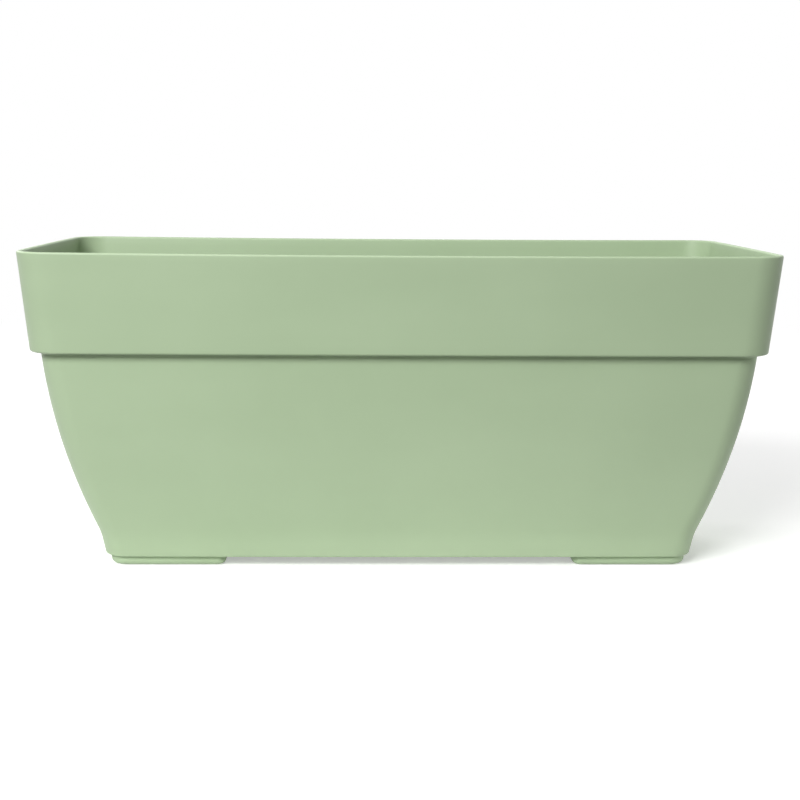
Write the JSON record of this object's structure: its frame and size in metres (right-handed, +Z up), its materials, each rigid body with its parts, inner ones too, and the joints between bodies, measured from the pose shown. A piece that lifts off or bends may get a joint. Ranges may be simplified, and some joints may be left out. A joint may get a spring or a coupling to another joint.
{
  "type": "trough planter",
  "caption": "Long moulded trough planter with a tall stepped collar, bellied sides, low corner feet, a lift-out perforated plate over a water reserve, and pull-out drain plugs.",
  "frame": {"origin": "centre of the footprint, on the surface that the feet stand on", "axes": "+X along the length to the right as seen from the front, +Y to the back, +Z up; the front faces -Y"},
  "size_m": [0.4998, 0.22, 0.216],
  "materials": {
    "shell_plastic": "satin sage green moulded polypropylene",
    "foot_plastic": "satin sage green moulded polypropylene",
    "plate_plastic": "matt dark green recycled polypropylene",
    "plug_rubber": "matt black soft rubber"
  },
  "bodies": {
    "trough": {"trough_shell": "shell_plastic", "front_left_foot": "foot_plastic", "front_right_foot": "foot_plastic", "rear_left_foot": "foot_plastic", "rear_right_foot": "foot_plastic"},
    "reservoir_plate": {"reservoir_plate": "plate_plastic"},
    "drain_plug_left": {"drain_plug_left": "plug_rubber"},
    "drain_plug_right": {"drain_plug_right": "plug_rubber"}
  },
  "joints": [
    {"name": "plate_lift", "type": "slide", "parent": "trough", "child": "reservoir_plate", "axis": [0, 0, 1], "range_m": [0, 0.215]},
    {"name": "plug_pull_left", "type": "slide", "parent": "trough", "child": "drain_plug_left", "axis": [0, 0, 1], "range_m": [0, 0.06]},
    {"name": "plug_pull_right", "type": "slide", "parent": "trough", "child": "drain_plug_right", "axis": [0, 0, 1], "range_m": [0, 0.06]}
  ]
}
